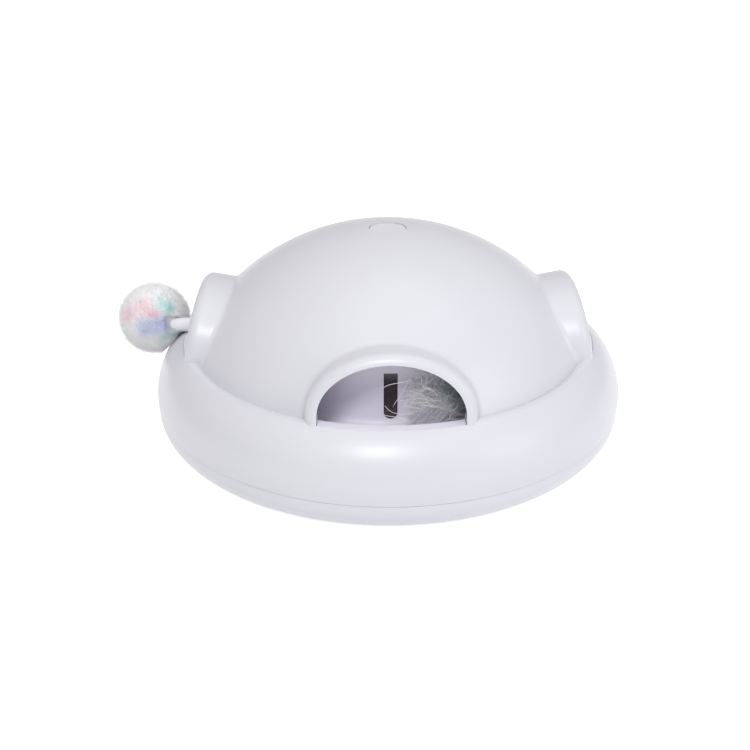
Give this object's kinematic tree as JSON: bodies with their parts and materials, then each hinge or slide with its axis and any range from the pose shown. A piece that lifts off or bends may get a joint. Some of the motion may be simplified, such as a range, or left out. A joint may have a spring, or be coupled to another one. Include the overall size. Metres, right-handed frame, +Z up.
{
  "type": "automatic cat laser toy",
  "caption": "Domed automatic cat toy with arched openings, a sliding pompom and feather wand, a tilting laser behind a slot window and a top push button.",
  "frame": {"origin": "on the floor, under the middle of the round base", "axes": "+Z up along the dome's axis; the front arch with the laser window faces -Y; the pompom comes out towards -X"},
  "size_m": [0.2601, 0.2382, 0.0985],
  "materials": {
    "shell_white": "satin moulded ABS",
    "tray_white": "moulded ABS, satin",
    "button_white": "moulded ABS, satin",
    "window_tint": "dark tinted polycarbonate, glossy",
    "stem_white": "glossy extruded tube",
    "acetal_white": "natural acetal",
    "frame_grey": "moulded ABS, dull",
    "pompom_fur": "dyed soft fibre",
    "plume_down": "dyed marabou down",
    "foot_rubber": "soft rubber",
    "screw_steel": "zinc plated",
    "pin_steel": "ground steel",
    "motor_steel": "plated can",
    "barrel_brass": "turned brass",
    "lens_clear": "moulded acrylic",
    "board_green": "solder mask",
    "part_black": "moulded epoxy",
    "cell_wrap": "shrink sleeve",
    "port_metal": "drawn steel shell"
  },
  "bodies": {
    "housing": {"axle_clip": "pin_steel", "base_shell": "shell_white", "board_parts": "part_black", "board_posts": "frame_grey", "button_spring": "pin_steel", "case_screws": "screw_steel", "cell_holder": "frame_grey", "charge_board": "board_green", "charge_ledge": "frame_grey", "charge_socket": "port_metal", "deck_screws": "screw_steel", "drum_cover": "tray_white", "front_window": "window_tint", "gear_axle": "pin_steel", "inner_housing": "tray_white", "laser_bracket": "frame_grey", "left_bushing": "acetal_white", "main_board": "board_green", "mechanism_deck": "frame_grey", "motor_collar": "frame_grey", "rear_window": "window_tint", "rechargeable_cell": "cell_wrap", "right_bushing": "acetal_white", "rubber_feet": "foot_rubber", "spring_seat": "frame_grey", "tact_switch": "part_black", "tilt_motor": "motor_steel", "tilt_saddle": "frame_grey", "tray_screws": "screw_steel", "upper_shell": "shell_white", "wand_guide": "frame_grey", "wand_motor": "motor_steel"},
    "wand": {"rack_bar": "acetal_white", "pompom_stem": "stem_white", "feather_stem": "stem_white", "pompom": "pompom_fur", "feather_ferrule": "pin_steel", "feather_plume": "plume_down"},
    "wand_gear_body": {"wand_gear": "acetal_white"},
    "wand_driver_body": {"wand_driver": "acetal_white"},
    "laser_head": {"laser_cradle": "frame_grey", "laser_barrel": "barrel_brass", "laser_lens": "lens_clear", "tilt_sector": "acetal_white"},
    "tilt_driver_body": {"tilt_driver": "acetal_white"},
    "button": {"top_button": "button_white"}
  },
  "joints": [
    {"name": "wand_slide", "type": "slide", "parent": "housing", "child": "wand", "axis": [1, 0, 0], "range_m": [0, 0.025], "deforming": ["pompom", "feather_plume"]},
    {"name": "wand_gear_spin", "type": "hinge", "parent": "housing", "child": "wand_gear_body", "pos_m": [0, 0.00938, 0.0475], "axis": [0, 0, 1], "range_deg": [0, 242]},
    {"name": "wand_driver_spin", "type": "hinge", "parent": "housing", "child": "wand_driver_body", "pos_m": [0, 0.03041, 0.054], "axis": [0, 0, 1], "range_deg": [-605, 0]},
    {"name": "laser_tilt", "type": "hinge", "parent": "housing", "child": "laser_head", "pos_m": [0, -0.06, 0.05], "axis": [1, 0, 0], "range_deg": [-10, 10]},
    {"name": "tilt_driver_spin", "type": "hinge", "parent": "housing", "child": "tilt_driver_body", "pos_m": [0.0124, -0.04397, 0.05], "axis": [1, 0, 0], "range_deg": [-31, 31]},
    {"name": "button_press", "type": "slide", "parent": "housing", "child": "button", "axis": [0, 0, -1], "range_m": [0, 0.0012], "stiffness_N_per_m": 600, "springref_m": -0.0006, "deforming": ["button_spring"]}
  ],
  "couplings": [
    {"joint": "wand_gear_spin", "follows": "wand_slide", "rad_per_m": 166.67},
    {"joint": "wand_driver_spin", "follows": "wand_slide", "rad_per_m": -416.67},
    {"joint": "tilt_driver_spin", "follows": "laser_tilt", "ratio": -3}
  ]
}
